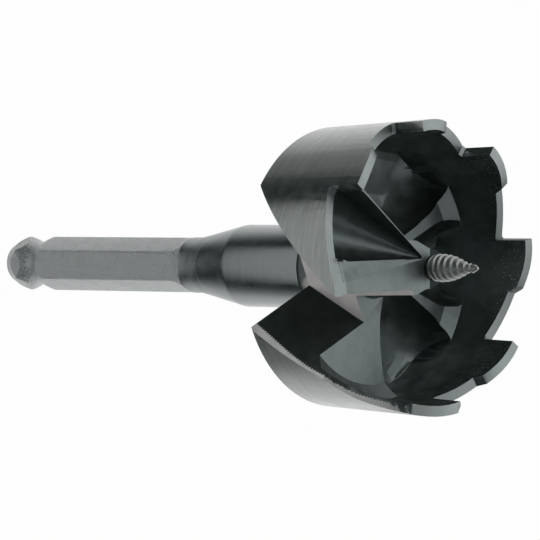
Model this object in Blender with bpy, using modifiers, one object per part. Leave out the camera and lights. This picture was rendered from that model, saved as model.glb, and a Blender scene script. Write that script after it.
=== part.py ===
"""Self-feed wood boring bit, 2-9/16 in (65 mm), with a hex quick-change shank.

The bit is drawn about its own axis: +Z runs to the screw point, z = 0 is the plane of
the tooth tips, and angles turn anticlockwise seen from the front, the way it cuts.
An empty then lays it on its side, as it rests on a bench. Metres throughout.
"""
import math

import bmesh
import bpy
from mathutils import Matrix, Vector

MM = 0.001

# Cutting head, a turned cup
HEAD_RADIUS = 32.54 * MM
HEAD_BACK_RADIUS = HEAD_RADIUS - 1.41 * MM
HEAD_BACK_Z = -30.1 * MM
BACK_EDGE_BREAK = 0.5 * MM
CUP_MOUTH_RADIUS = HEAD_RADIUS - 2.34 * MM
CUP_FOOT_RADIUS = HEAD_RADIUS - 3.24 * MM
CUP_FOOT_Z = -17.0 * MM
CUP_FLOOR_RADIUS = HEAD_RADIUS - 6.54 * MM
CUP_FLOOR_Z = -19.0 * MM
HUB_TOP_RADIUS = 4.1 * MM
HUB_FOOT_RADIUS = 7.0 * MM
CUTTER_Z = -2.0 * MM
BOSS_RADIUS = 9.3 * MM
BOSS_Z = -33.0 * MM

# Solid web from the hub to the slot's floor: half widths at three reaches
WEB_FRONT = 9.0 * MM
WEB_HALF_AT_FRONT = 6.1 * MM
WEB_SHOULDER = 5.2 * MM
WEB_HALF_AT_SHOULDER = 5.9 * MM
WEB_HALF_AT_AXIS = 3.9 * MM
WEB_SPREAD = 0.4 * MM

# Teeth round the rim: tip angles, and the shape from one tip back to the next
TOOTH_TIPS = [56.5, 10.5, -34.4, -78.3, -122.5, -165.5]
CROWN_SPAN = 20.0
CROWN_RELIEF = 2.6 * MM
CROWN_CURVE = 1.9
STEP_SPAN = 2.0
STEP_DROP = 2.1 * MM
GULLET_DEPTH = 8.4 * MM
ROOT_SPAN = 1.6
ROOT_RISE = 0.7 * MM
LEAD_CUTTER_ANGLE = 101.0
LEAD_CUTTER_HEEL = 96.6
LAST_CROWN_SPAN = 25.5
LAST_CROWN_RELIEF = 2.5 * MM
RAMP_KNEE_SPAN = 40.6
RAMP_KNEE_DEPTH = 10.3 * MM
RAMP_END_SPAN = 52.6
RAMP_END_DEPTH = 14.1 * MM
RAMP_INWARD_FALL = 0.64
TIP_BREAK_DROPS = [0.0, 0.0, 0.0, 0.0, 0.0, 1.6 * MM]
TIP_BREAK_SPAN = 3.0
TIP_BREAK_WIDTH = 1.5 * MM
RIM_CUT_INNER = CUP_MOUTH_RADIUS - 1.0 * MM
RIM_CUT_OUTER = HEAD_RADIUS + 3.5 * MM
RIM_CUT_TOP = 4.0 * MM

# Chip slot between the cutter's rake face and the far side of the wall
RAKE_AT_WALL = -6.2 * MM
RAKE_AT_HUB = -4.7 * MM
RAKE_SLANT = 0.857
RAKE_HUB_REACH = 3.0 * MM
RAKE_WALL_REACH = 32.0 * MM
SLOT_FAR_ANGLE = 115.7
SLOT_FAR_SLANT = 0.881
SLOT_FAR_OFFSET = -26.4 * MM
SLOT_FLOOR_BACK = 9.7 * MM
SLOT_FLOOR_FRONT = 8.0 * MM
SLOT_REACH = 45.0 * MM
SLOT_BACK_Z = -37.0 * MM
SLOT_FRONT_Z = 4.0 * MM

# Land that carries the radial cutter and the knife-edged rib behind it
RIB_ANGLE = 53.5
RIB_CREST = 0.4 * MM
LAND_RADIUS = HEAD_RADIUS - 1.84 * MM
LAND_BASE_Z = -22.0 * MM
CUTTER_BACK_AT_WALL = 1.3 * MM
CUTTER_BACK_AT_HUB = 2.0 * MM
RELIEF_OVERRUN = 1.3
TROUGH_RADIUS = 8.0 * MM
TROUGH_Z = -7.5 * MM
TROUGH_APEX_RADIUS = 0.4 * MM
TROUGH_APEX_Z = -2.6 * MM
TROUGH_LIFT = 14.0 * MM

# Pockets in the cup floor, each bounded by the wall: (angle, distance, ball radius)
POCKET_LIMIT_RADIUS = CUP_FOOT_RADIUS - 0.05 * MM
POCKET_Z = -17.5 * MM
POCKET_FAR = [(272.0, 12.0 * MM, 4.8 * MM), (272.0, 16.0 * MM, 6.1 * MM),
              (272.0, 25.0 * MM, 9.9 * MM)]
POCKET_SIDE = [(331.0, 13.6 * MM, 6.2 * MM), (329.3, 20.0 * MM, 9.3 * MM),
               (324.5, 24.0 * MM, 9.3 * MM), (10.0, 14.0 * MM, 6.0 * MM),
               (20.0, 20.0 * MM, 9.0 * MM), (20.0, 24.0 * MM, 9.0 * MM)]
POCKET_NEAR = [(222.0, 11.0 * MM, 4.6 * MM), (216.5, 14.3 * MM, 6.3 * MM),
               (215.2, 20.0 * MM, 9.3 * MM), (220.0, 24.0 * MM, 9.3 * MM),
               (209.0, 25.0 * MM, 9.0 * MM)]

# Shank
SHANK_END_Z = -130.2 * MM
SHANK_END_RADIUS = 4.4 * MM
SHANK_CHAMFER_Z = -126.6 * MM
HEX_ACROSS_FLATS = 11.11 * MM
HEX_CORNER_RADIUS = 6.25 * MM
HEX_ROLL = 3.0
GROOVE_Z = -122.2 * MM
GROOVE_DEPTH = 1.55 * MM
GROOVE_HALF_WIDTH = 4.0 * MM
FLAT_END_Z = -76.0 * MM
FLAT_RUNOUT_Z = -72.6 * MM
FLAT_RUNOUT_RISE = 1.2 * MM
NECK_RADIUS = 6.35 * MM
CONE_START_Z = -69.8 * MM
COLLAR_START_Z = -56.2 * MM
COLLAR_RADIUS = 9.29 * MM
COLLAR_CORNER = 0.5 * MM
SEAM_GAP = 0.3 * MM
SPIGOT_RADIUS = 6.5 * MM
SPIGOT_FRONT_Z = -24.0 * MM

# Feed screw and the set screw that holds it
FEED_STEM_RADIUS = 2.4 * MM
FEED_STEM_BACK_Z = -50.0 * MM
FEED_BASE_Z = -1.65 * MM
FEED_BASE_RADIUS = 2.45 * MM
FEED_WIDEST_RADIUS = 3.1 * MM
FEED_WIDEST_Z = 1.2 * MM
FEED_NIB_RADIUS = 0.95 * MM
FEED_NIB_Z = 8.4 * MM
FEED_TIP_RADIUS = 0.45 * MM
FEED_TIP_Z = 11.1 * MM
BORE_GAP = 0.3 * MM
SET_SCREW_Z = -44.0 * MM
SET_SCREW_RADIUS = 2.4 * MM
SET_SCREW_ANGLE = -87.0
SET_SCREW_DEPTH = 0.6 * MM
SOCKET_RADIUS = 1.4 * MM
SOCKET_DEPTH = 2.2 * MM
HOLE_OVERRUN = 2.7 * MM

# How it lies: the heavy side turned down, and the steps round each turned shape
REST_ANGLE = -95.625
HEAD_STEPS = 96
SHANK_STEPS = 64
SCREW_STEPS = 40
SMOOTH_ANGLE = 32.0
RIM_STEP = 1.6


def clear_scene():
    for obj in list(bpy.data.objects):
        bpy.data.objects.remove(obj, do_unlink=True)


def new_collection(name):
    collection = bpy.data.collections.new(name)
    bpy.context.scene.collection.children.link(collection)
    return collection


def new_material(name, colour, roughness, metallic):
    material = bpy.data.materials.new(name)
    material.use_nodes = True
    shader = material.node_tree.nodes["Principled BSDF"]
    shader.inputs["Base Color"].default_value = (*colour, 1.0)
    shader.inputs["Roughness"].default_value = roughness
    shader.inputs["Metallic"].default_value = metallic
    return material


def new_object(name, mesh, collection):
    obj = bpy.data.objects.new(name, mesh)
    collection.objects.link(obj)
    return obj


def polar(angle, radius, z=0.0):
    """A point on the bit from its angle in degrees, radius and height."""
    turn = math.radians(angle)
    return Vector((radius * math.cos(turn), radius * math.sin(turn), z))


def turned(name, profile, steps, collection):
    """Turn a closed (radius, z) outline, listed down its outer side first."""
    mesh = bpy.data.meshes.new(name)
    points = [(radius, 0.0, z) for radius, z in profile]
    last = len(points) - 1
    edges = [(i, i + 1) for i in range(last)]
    if profile[0][0] > 0.0 or profile[-1][0] > 0.0:
        edges.append((last, 0))
    mesh.from_pydata(points, edges, [])
    obj = new_object(name, mesh, collection)
    screw = obj.modifiers.new("Turn", 'SCREW')
    screw.steps = steps
    screw.render_steps = steps
    screw.use_merge_vertices = True
    screw.merge_threshold = 0.00001
    screw.use_normal_calculate = False
    return obj


def hull(name, points, collection):
    """A convex block round the given points."""
    shape = bmesh.new()
    for point in points:
        shape.verts.new(point)
    result = bmesh.ops.convex_hull(shape, input=shape.verts)
    bmesh.ops.delete(shape, geom=result["geom_interior"], context='VERTS')
    bmesh.ops.recalc_face_normals(shape, faces=shape.faces)
    mesh = bpy.data.meshes.new(name)
    shape.to_mesh(mesh)
    shape.free()
    return new_object(name, mesh, collection)


def ball_path(name, balls, collection):
    """The space that a ball-ended cutter clears between (centre, radius) stations."""
    shape = bmesh.new()
    for centre, radius in balls:
        bmesh.ops.create_uvsphere(shape, u_segments=28, v_segments=14, radius=radius,
                                  matrix=Matrix.Translation(centre))
    points = [vert.co.copy() for vert in shape.verts]
    shape.free()
    return hull(name, points, collection)


def combine(target, tool, operation):
    """Add one Boolean step to the target and put its tool out of sight."""
    step = target.modifiers.new(operation.title(), 'BOOLEAN')
    step.operation = operation
    step.object = tool
    step.solver = 'EXACT'
    tool.hide_render = True
    tool.display_type = 'WIRE'


def settle(obj):
    """Keep the finished mesh, with smooth round faces and crisp machined edges."""
    bpy.context.view_layer.update()
    depsgraph = bpy.context.evaluated_depsgraph_get()
    mesh = bpy.data.meshes.new_from_object(obj.evaluated_get(depsgraph))
    obj.modifiers.clear()
    obj.data = mesh
    mesh.name = obj.name
    mesh.shade_smooth()
    mesh.set_sharp_from_angle(angle=math.radians(SMOOTH_ANGLE))


def rim_height(angle):
    """Height of the toothed rim at an angle, measured back from the tooth tips."""
    if angle > TOOTH_TIPS[0]:
        span = LEAD_CUTTER_HEEL - TOOTH_TIPS[0]
        part = max(0.0, (LEAD_CUTTER_HEEL - angle) / span)
        height = CUTTER_Z - (GULLET_DEPTH + CUTTER_Z) * part
        return height + root_fillet(angle - TOOTH_TIPS[0])
    place = max(i for i, tip in enumerate(TOOTH_TIPS) if tip >= angle)
    back = TOOTH_TIPS[place] - angle
    if place == len(TOOTH_TIPS) - 1:
        return last_tooth_height(back)
    pitch = TOOTH_TIPS[place] - TOOTH_TIPS[place + 1]
    if back <= CROWN_SPAN:
        return -CROWN_RELIEF * (back / CROWN_SPAN) ** CROWN_CURVE
    if back <= CROWN_SPAN + STEP_SPAN:
        return -CROWN_RELIEF - STEP_DROP * (back - CROWN_SPAN) / STEP_SPAN
    start = CROWN_RELIEF + STEP_DROP
    part = (back - CROWN_SPAN - STEP_SPAN) / (pitch - CROWN_SPAN - STEP_SPAN)
    return -start - (GULLET_DEPTH - start) * part + root_fillet(pitch - back)


def root_fillet(distance):
    """The small rise where a gullet floor turns up into the next tooth's face."""
    part = max(0.0, 1.0 - distance / ROOT_SPAN)
    return ROOT_RISE * part ** 2


def last_tooth_height(back):
    """The last tooth's crown, then the ramp that runs down into the chip slot."""
    if back <= LAST_CROWN_SPAN:
        return -LAST_CROWN_RELIEF * (back / LAST_CROWN_SPAN) ** CROWN_CURVE
    if back <= RAMP_KNEE_SPAN:
        part = (back - LAST_CROWN_SPAN) / (RAMP_KNEE_SPAN - LAST_CROWN_SPAN)
        return -LAST_CROWN_RELIEF - (RAMP_KNEE_DEPTH - LAST_CROWN_RELIEF) * part
    part = (back - RAMP_KNEE_SPAN) / (RAMP_END_SPAN - RAMP_KNEE_SPAN)
    return -RAMP_KNEE_DEPTH - (RAMP_END_DEPTH - RAMP_KNEE_DEPTH) * part


def tip_break(angle):
    """How far the outer corner of a tooth tip is ground down at an angle."""
    for tip, drop in zip(TOOTH_TIPS, TIP_BREAK_DROPS):
        back = tip - angle
        if 0.0 <= back < TIP_BREAK_SPAN:
            return drop * (1.0 - back / TIP_BREAK_SPAN)
    return 0.0


def ramp_fall(angle):
    """How steeply the ramp into the slot falls inwards, nothing on the teeth."""
    back = TOOTH_TIPS[-1] - LAST_CROWN_SPAN - angle
    return RAMP_INWARD_FALL * min(1.0, max(0.0, back / 6.0))


def rim_angles():
    """Angles to cut the rim at: close steps, with both sides of every tooth face."""
    first = LEAD_CUTTER_ANGLE + 14.0
    last = TOOTH_TIPS[-1] - RAMP_END_SPAN - 2.0
    marks = []
    count = int((first - last) / RIM_STEP)
    for i in range(count + 1):
        marks.append(first + (last - first) * i / count)
    corners = []
    for tip in TOOTH_TIPS:
        corners += [tip + 0.15, tip]
        corners += [tip - TIP_BREAK_SPAN / 2.0, tip - TIP_BREAK_SPAN]
        if tip != TOOTH_TIPS[-1]:
            corners += [tip - CROWN_SPAN, tip - CROWN_SPAN - STEP_SPAN]
    corners.append(LEAD_CUTTER_HEEL)
    corners.append(TOOTH_TIPS[-1] - LAST_CROWN_SPAN)
    corners.append(TOOTH_TIPS[-1] - RAMP_KNEE_SPAN)
    marks = [m for m in marks if all(abs(m - c) > 0.5 for c in corners)]
    return sorted(marks + corners, reverse=True)


def rim_cutter(collection):
    """A flat grid bent into a ring over the rim, its underside shaped as the teeth."""
    angles = rim_angles()
    shape = bmesh.new()
    grid = bmesh.ops.create_grid(shape, x_segments=len(angles) - 1, y_segments=2, size=1.0)
    columns = sorted({round(vert.co.x, 6) for vert in grid["verts"]})
    rings = (RIM_CUT_INNER, HEAD_RADIUS - TIP_BREAK_WIDTH, RIM_CUT_OUTER)
    for vert in grid["verts"]:
        angle = angles[columns.index(round(vert.co.x, 6))]
        radius = rings[round(vert.co.y) + 1]
        fall = ramp_fall(angle) * (HEAD_RADIUS - radius)
        if radius == RIM_CUT_OUTER:
            reach = (RIM_CUT_OUTER - rings[1]) / TIP_BREAK_WIDTH
            fall += tip_break(angle) * reach
        vert.co = polar(angle, radius, rim_height(angle) - fall)
    top = bmesh.ops.extrude_face_region(shape, geom=shape.faces[:])
    for item in top["geom"]:
        if isinstance(item, bmesh.types.BMVert):
            item.co.z = RIM_CUT_TOP
    bmesh.ops.recalc_face_normals(shape, faces=shape.faces)
    mesh = bpy.data.meshes.new("rim_cutter")
    shape.to_mesh(mesh)
    shape.free()
    return new_object("rim_cutter", mesh, collection)


def rake_line(n, z):
    """Where the rake face lies across the bit at a reach n from the axis."""
    reach = (n - RAKE_HUB_REACH) / (RAKE_WALL_REACH - RAKE_HUB_REACH)
    across = RAKE_AT_HUB + (RAKE_AT_WALL - RAKE_AT_HUB) * reach
    return across + RAKE_SLANT * (CUTTER_Z - z)


def slot_floor(z):
    """Distance of the slot's floor from the axis: it slopes up to the cup's floor."""
    part = min(1.0, (z - HEAD_BACK_Z) / (CUP_FLOOR_Z - HEAD_BACK_Z))
    return SLOT_FLOOR_BACK + (SLOT_FLOOR_FRONT - SLOT_FLOOR_BACK) * part


def slot_section(z):
    """The slot's four corners at one height, rake side first."""
    out = polar(SLOT_FAR_ANGLE, 1.0)
    along = polar(SLOT_FAR_ANGLE - 90.0, 1.0)
    floor = slot_floor(z)
    far = SLOT_FAR_OFFSET - SLOT_FAR_SLANT * z
    corners = []
    for reach in (floor, SLOT_REACH):
        corners.append(out * reach + along * far)
    for reach in (SLOT_REACH, floor):
        low, high = -2.0 * SLOT_REACH, 2.0 * SLOT_REACH
        for _ in range(50):
            middle = (low + high) / 2.0
            point = out * reach + along * middle
            if point.x < rake_line(point.y, z):
                low = middle
            else:
                high = middle
        corners.append(out * reach + along * low)
    return [Vector((c.x, c.y, z)) for c in corners]


def slot_cutter(collection):
    """The slanted chip slot as one block lofted from behind the head to its front."""
    corners = []
    for z in (SLOT_BACK_Z, CUP_FLOOR_Z, SLOT_FRONT_Z):
        corners += slot_section(z)
    return hull("slot_cutter", corners, collection)


def web(collection):
    """The web's block, a little wider at its foot."""
    corners = []
    for z, spread in ((CUTTER_Z, 0.0), (LAND_BASE_Z, WEB_SPREAD)):
        for side in (-1.0, 1.0):
            for reach, half in ((WEB_FRONT, WEB_HALF_AT_FRONT),
                                (WEB_SHOULDER, WEB_HALF_AT_SHOULDER),
                                (0.0, WEB_HALF_AT_AXIS)):
                corners.append(Vector((side * (half + spread), reach, z)))
    return hull("web", corners, collection)


def trough_station(radius, line, crest):
    """Centre of a ball that touches the cutter's back line and the rib's crest."""
    across = line + radius
    turn = math.radians(RIB_ANGLE)
    along = (radius + crest + across * math.sin(turn)) / math.cos(turn)
    return across, along


def relief(collection):
    """The space over the cutter's back, which falls away to meet the rim."""
    hub = Vector((CUTTER_BACK_AT_HUB, RAKE_HUB_REACH, CUTTER_Z))
    turn = math.degrees(math.acos(CUTTER_BACK_AT_WALL / CUP_MOUTH_RADIUS))
    back = polar(turn, CUP_MOUTH_RADIUS, rim_height(turn))
    heel = polar(LEAD_CUTTER_HEEL, CUP_MOUTH_RADIUS, CUTTER_Z)
    corners = [hub, hub + (back - hub) * RELIEF_OVERRUN, hub + (heel - hub) * RELIEF_OVERRUN]
    lifted = [corner + Vector((0.0, 0.0, TROUGH_LIFT)) for corner in corners]
    return hull("relief", corners + lifted, collection)


def land(collection):
    """The raised land from the rake face round to the rib, with its tapered trough."""
    rib = polar(RIB_ANGLE, LAND_RADIUS * 1.3)
    section = []
    for z in (CUTTER_Z, LAND_BASE_Z):
        section.append(Vector((rake_line(0.0, CUTTER_Z), 0.0, z)))
        section.append(Vector((rake_line(LAND_RADIUS, CUTTER_Z), LAND_RADIUS * 1.3, z)))
        section.append(Vector((rib.x, LAND_RADIUS * 1.3, z)))
        section.append(Vector((rib.x, rib.y, z)))
        section.append(Vector((0.0, 0.0, z)))
    block = hull("land", section, collection)
    disc = turned("land_limit", [(0.0, 0.0), (LAND_RADIUS, 0.0), (LAND_RADIUS, LAND_BASE_Z * 1.2),
                                 (0.0, LAND_BASE_Z * 1.2)], HEAD_STEPS, collection)
    rise = Vector((0.0, 0.0, TROUGH_LIFT))
    wide = Vector((*trough_station(TROUGH_RADIUS, CUTTER_BACK_AT_WALL, RIB_CREST), TROUGH_Z))
    apex = Vector((*trough_station(TROUGH_APEX_RADIUS, CUTTER_BACK_AT_HUB, 0.0),
                   TROUGH_APEX_Z))
    balls = []
    for lift in (Vector(), rise):
        balls += [(apex + lift, TROUGH_APEX_RADIUS), (wide + lift, TROUGH_RADIUS)]
    combine(block, web(collection), 'UNION')
    combine(block, disc, 'INTERSECT')
    combine(block, ball_path("trough", balls, collection), 'DIFFERENCE')
    combine(block, relief(collection), 'DIFFERENCE')
    return block


def pocket(name, stations, collection):
    """One floor pocket along its (angle, distance, radius) stations, kept off the wall."""
    balls = []
    for angle, distance, radius in stations:
        balls.append((polar(angle, distance, POCKET_Z), radius))
    tool = ball_path(name, balls, collection)
    limit = turned(name + "_limit", [(0.0, 0.0), (POCKET_LIMIT_RADIUS, 0.0),
                                     (POCKET_LIMIT_RADIUS, HEAD_BACK_Z), (0.0, HEAD_BACK_Z)],
                   HEAD_STEPS, collection)
    combine(tool, limit, 'INTERSECT')
    return tool


def make_head(parts, cutters):
    bore = FEED_STEM_RADIUS + BORE_GAP
    socket = SPIGOT_RADIUS + BORE_GAP
    profile = [
        (HEAD_RADIUS, 0.0),
        (HEAD_BACK_RADIUS, HEAD_BACK_Z + BACK_EDGE_BREAK),
        (HEAD_BACK_RADIUS - BACK_EDGE_BREAK, HEAD_BACK_Z),
        (BOSS_RADIUS, HEAD_BACK_Z),
        (BOSS_RADIUS, BOSS_Z),
        (socket, BOSS_Z),
        (socket, SPIGOT_FRONT_Z + BORE_GAP),
        (bore, SPIGOT_FRONT_Z + BORE_GAP),
        (bore, CUTTER_Z),
        (HUB_TOP_RADIUS, CUTTER_Z),
        (HUB_FOOT_RADIUS, CUP_FLOOR_Z),
        (CUP_FLOOR_RADIUS, CUP_FLOOR_Z),
        (CUP_FOOT_RADIUS, CUP_FOOT_Z),
        (CUP_MOUTH_RADIUS, 0.0),
    ]
    head = turned("cutter_head", profile, HEAD_STEPS, parts)
    raised = land(cutters)
    bore_pin = turned("bore_pin", [(0.0, SLOT_FRONT_Z), (bore, SLOT_FRONT_Z),
                                   (bore, SPIGOT_FRONT_Z), (0.0, SPIGOT_FRONT_Z)],
                      HEAD_STEPS, cutters)
    combine(head, raised, 'UNION')
    combine(head, bore_pin, 'DIFFERENCE')
    for name, stations in (("pocket_near", POCKET_NEAR), ("pocket_far", POCKET_FAR),
                           ("pocket_side", POCKET_SIDE)):
        combine(head, pocket(name, stations, cutters), 'DIFFERENCE')
    combine(head, slot_cutter(cutters), 'DIFFERENCE')
    combine(head, rim_cutter(cutters), 'DIFFERENCE')
    settle(head)
    return head


def shank_profile():
    """The turned outline of the shank, from the spigot's front down to its end."""
    bore = FEED_STEM_RADIUS + BORE_GAP
    face = BOSS_Z - SEAM_GAP
    outline = [
        (SPIGOT_RADIUS, SPIGOT_FRONT_Z),
        (SPIGOT_RADIUS, face),
        (COLLAR_RADIUS - 0.3 * MM, face),
        (COLLAR_RADIUS, face - 0.3 * MM),
        (COLLAR_RADIUS, COLLAR_START_Z + COLLAR_CORNER),
        (COLLAR_RADIUS - 0.15 * MM, COLLAR_START_Z - COLLAR_CORNER),
        (NECK_RADIUS, CONE_START_Z),
        (NECK_RADIUS, FLAT_RUNOUT_Z),
        (HEX_CORNER_RADIUS, FLAT_RUNOUT_Z - 1.0 * MM),
    ]
    for i in range(13):
        offset = GROOVE_HALF_WIDTH * (1.0 - i / 6.0)
        sink = GROOVE_DEPTH * math.cos(offset / GROOVE_HALF_WIDTH * math.pi / 2.0) ** 1.3
        outline.append((HEX_CORNER_RADIUS - sink, GROOVE_Z + offset))
    outline += [
        (HEX_CORNER_RADIUS - 0.1 * MM, SHANK_CHAMFER_Z),
        (SHANK_END_RADIUS, SHANK_END_Z),
        (0.0, SHANK_END_Z),
        (0.0, FEED_STEM_BACK_Z - BORE_GAP),
        (bore, FEED_STEM_BACK_Z - BORE_GAP),
        (bore, SPIGOT_FRONT_Z),
    ]
    return outline


def make_shank(parts, cutters):
    shank = turned("shank", shank_profile(), SHANK_STEPS, parts)
    corner = HEX_ACROSS_FLATS / 2.0 / math.cos(math.pi / 6.0)
    wide = COLLAR_RADIUS * 2.0
    outline = [(0.0, 0.0), (wide, 0.0), (wide, FLAT_RUNOUT_Z + 4.0 * MM)]
    for i in range(7):
        part = 1.0 - i / 6.0
        bulge = FLAT_RUNOUT_RISE * part ** 2
        outline.append((corner + bulge, FLAT_END_Z + (FLAT_RUNOUT_Z - FLAT_END_Z) * part))
    outline += [(corner, SHANK_END_Z - 2.0 * MM), (0.0, SHANK_END_Z - 2.0 * MM)]
    hexagon = turned("hex_bar", outline, 6, cutters)
    hexagon.rotation_euler.z = math.radians(HEX_ROLL)
    hole_top = COLLAR_RADIUS + HOLE_OVERRUN
    hole = turned("set_screw_hole", [(0.0, hole_top), (SET_SCREW_RADIUS + BORE_GAP, hole_top),
                                     (SET_SCREW_RADIUS + BORE_GAP, 0.0), (0.0, 0.0)],
                  SCREW_STEPS, cutters)
    hole.location.z = SET_SCREW_Z
    hole.rotation_euler = (0.0, math.radians(90.0), math.radians(SET_SCREW_ANGLE))
    combine(shank, hexagon, 'INTERSECT')
    combine(shank, hole, 'DIFFERENCE')
    settle(shank)
    return shank


def make_feed_screw(parts):
    profile = [(0.0, FEED_TIP_Z), (FEED_TIP_RADIUS, FEED_TIP_Z)]
    profile.append((FEED_NIB_RADIUS, FEED_TIP_Z - 0.7 * MM))
    profile.append((FEED_NIB_RADIUS, FEED_NIB_Z))
    count = 8
    for i in range(1, count + 1):
        part = i / count
        z = FEED_NIB_Z + (FEED_WIDEST_Z - FEED_NIB_Z) * part
        swell = math.sin(part * math.pi / 2.0)
        profile.append((FEED_NIB_RADIUS + (FEED_WIDEST_RADIUS - FEED_NIB_RADIUS) * swell, z))
    profile.append((FEED_WIDEST_RADIUS, FEED_WIDEST_Z - 1.2 * MM))
    profile.append((FEED_BASE_RADIUS, FEED_BASE_Z))
    profile.append((FEED_STEM_RADIUS, FEED_BASE_Z - 0.1 * MM))
    profile.append((FEED_STEM_RADIUS, FEED_STEM_BACK_Z + 0.4 * MM))
    profile.append((FEED_STEM_RADIUS - 0.4 * MM, FEED_STEM_BACK_Z))
    profile.append((0.0, FEED_STEM_BACK_Z))
    screw = turned("feed_screw", profile, SCREW_STEPS, parts)
    settle(screw)
    return screw


def make_set_screw(parts, cutters):
    top = COLLAR_RADIUS - SET_SCREW_DEPTH
    foot = FEED_STEM_RADIUS + BORE_GAP
    profile = [(0.0, top), (SET_SCREW_RADIUS - 0.3 * MM, top),
               (SET_SCREW_RADIUS, top - 0.3 * MM), (SET_SCREW_RADIUS, foot + 0.5 * MM),
               (SET_SCREW_RADIUS - 0.6 * MM, foot), (0.0, foot)]
    screw = turned("set_screw", profile, SCREW_STEPS, parts)
    outline = [(0.0, top + 1.0 * MM), (SOCKET_RADIUS, top + 1.0 * MM),
               (SOCKET_RADIUS, top - SOCKET_DEPTH), (0.0, top - SOCKET_DEPTH)]
    key = turned("hex_key_cut", outline, 6, cutters)
    combine(screw, key, 'DIFFERENCE')
    settle(screw)
    screw.location.z = SET_SCREW_Z
    screw.rotation_euler = (0.0, math.radians(90.0), math.radians(SET_SCREW_ANGLE))
    return screw


def resting_tilt(head, shank):
    """How far the axis tips for the head's back edge and the shank's end to touch down."""
    down = polar(REST_ANGLE, 1.0)
    back_z = HEAD_BACK_Z + BACK_EDGE_BREAK
    edge = max(vert.co.dot(down) for vert in head.data.vertices if vert.co.z < back_z + MM)
    tail = [vert.co for vert in shank.data.vertices if vert.co.z < GROOVE_Z]
    return min(math.atan2(edge - co.dot(down), back_z - co.z) for co in tail)


def lay_down(pieces, rest):
    """Lay the bit on the ground on its heavy side, centred over the origin."""
    tilt = resting_tilt(pieces[0], pieces[1])
    rest.rotation_mode = 'ZYX'
    rest.rotation_euler = (0.0, math.pi / 2.0 - tilt, -math.radians(REST_ANGLE))
    for piece in pieces:
        piece.parent = rest
    bpy.context.view_layer.update()
    corners = []
    for piece in pieces:
        corners += [piece.matrix_world @ vert.co for vert in piece.data.vertices]
    lows = [min(corner[i] for corner in corners) for i in range(3)]
    highs = [max(corner[i] for corner in corners) for i in range(3)]
    rest.location = (-(lows[0] + highs[0]) / 2.0, -(lows[1] + highs[1]) / 2.0, -lows[2])
    bpy.context.view_layer.update()


def main():
    clear_scene()
    parts = new_collection("self_feed_bit")
    cutters = new_collection("cutters")
    oxide = new_material("black_oxide_steel", (0.075, 0.08, 0.083), 0.34, 0.9)
    shank_oxide = new_material("shank_oxide_steel", (0.11, 0.115, 0.118), 0.38, 0.9)
    bright = new_material("bright_steel", (0.42, 0.43, 0.43), 0.3, 1.0)
    dark = new_material("dark_steel", (0.03, 0.03, 0.032), 0.4, 0.9)
    head = make_head(parts, cutters)
    shank = make_shank(parts, cutters)
    feed = make_feed_screw(parts)
    grub = make_set_screw(parts, cutters)
    finishes = ((head, oxide), (shank, shank_oxide), (feed, bright), (grub, dark))
    for piece, material in finishes:
        piece.data.materials.clear()
        piece.data.materials.append(material)
    rest = bpy.data.objects.new("bit_axis", None)
    parts.objects.link(rest)
    lay_down([head, shank, feed, grub], rest)
    cutters.hide_render = True


if __name__ == "__main__":
    main()
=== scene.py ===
"""Dresses the self-feed bit: oxide finish, worn edges, feed screw thread, camera and stage."""

import math
from functools import partial
from types import SimpleNamespace

import bmesh
import bpy
from bpy.props import FloatProperty, FloatVectorProperty, IntProperty, PointerProperty
from mathutils import Euler, Matrix, Vector


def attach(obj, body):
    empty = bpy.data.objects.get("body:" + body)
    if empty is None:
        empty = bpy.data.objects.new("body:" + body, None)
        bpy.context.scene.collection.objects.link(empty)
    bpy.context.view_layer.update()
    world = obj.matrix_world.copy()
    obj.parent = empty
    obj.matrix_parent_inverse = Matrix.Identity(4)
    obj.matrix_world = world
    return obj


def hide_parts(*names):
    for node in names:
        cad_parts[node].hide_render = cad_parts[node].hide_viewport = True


bl_info = {
    "name": "Self-feed bit dresser",
    "version": (1, 0, 0),
    "blender": (4, 5, 0),
    "location": "3D View > Sidebar > Self-feed bit",
    "description": "Finishes, thread and studio for a self-feed wood boring bit",
    "category": "Object",
}

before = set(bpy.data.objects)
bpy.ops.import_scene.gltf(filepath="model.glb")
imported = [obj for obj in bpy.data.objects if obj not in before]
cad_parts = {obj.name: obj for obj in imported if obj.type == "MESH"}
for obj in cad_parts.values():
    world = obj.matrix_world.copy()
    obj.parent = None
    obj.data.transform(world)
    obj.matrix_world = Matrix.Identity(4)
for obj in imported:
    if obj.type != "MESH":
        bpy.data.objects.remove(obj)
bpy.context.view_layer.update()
MM = 0.001

# Where the bit's own axis lies: z = 0 at the tooth tips, +Z to the screw's point
BIT_PLACE = Vector((0.0581352, 0.0000011, 0.0375537))
BIT_TURN = Euler((0.0, 1.31675696, 1.66897106), 'ZYX')

# Feed screw, from part.py
SCREW_TIP_Z = 11.1 * MM
SCREW_NIB_Z = 8.4 * MM
SCREW_WIDEST_Z = 1.2 * MM
SCREW_BASE_Z = -1.65 * MM
SCREW_STEM_END_Z = -50.0 * MM
SCREW_WIDEST_RADIUS = 3.1 * MM
SCREW_NIB_RADIUS = 0.95 * MM
SCREW_STEM_RADIUS = 2.4 * MM
SCREW_CORE_RINGS = 12
SCREW_CORE_SIDES = 48

# How the thread stands on the core, as shares of its ridge height
RIDGE_SUNK_AT_NIB = 0.6
RIDGE_SUNK_AT_WIDEST = 1.0
CORE_BELOW_CREST_AT_NIB = 0.25
CORE_BELOW_CREST_AT_WIDEST = 0.8
RIDGE_HALF_WIDTH = 0.85

# The thread starts at this share of its size and is whole a tenth of the way in, at each end
THREAD_END_SIZE = 0.12
THREAD_GROWTH = 9.0

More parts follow.
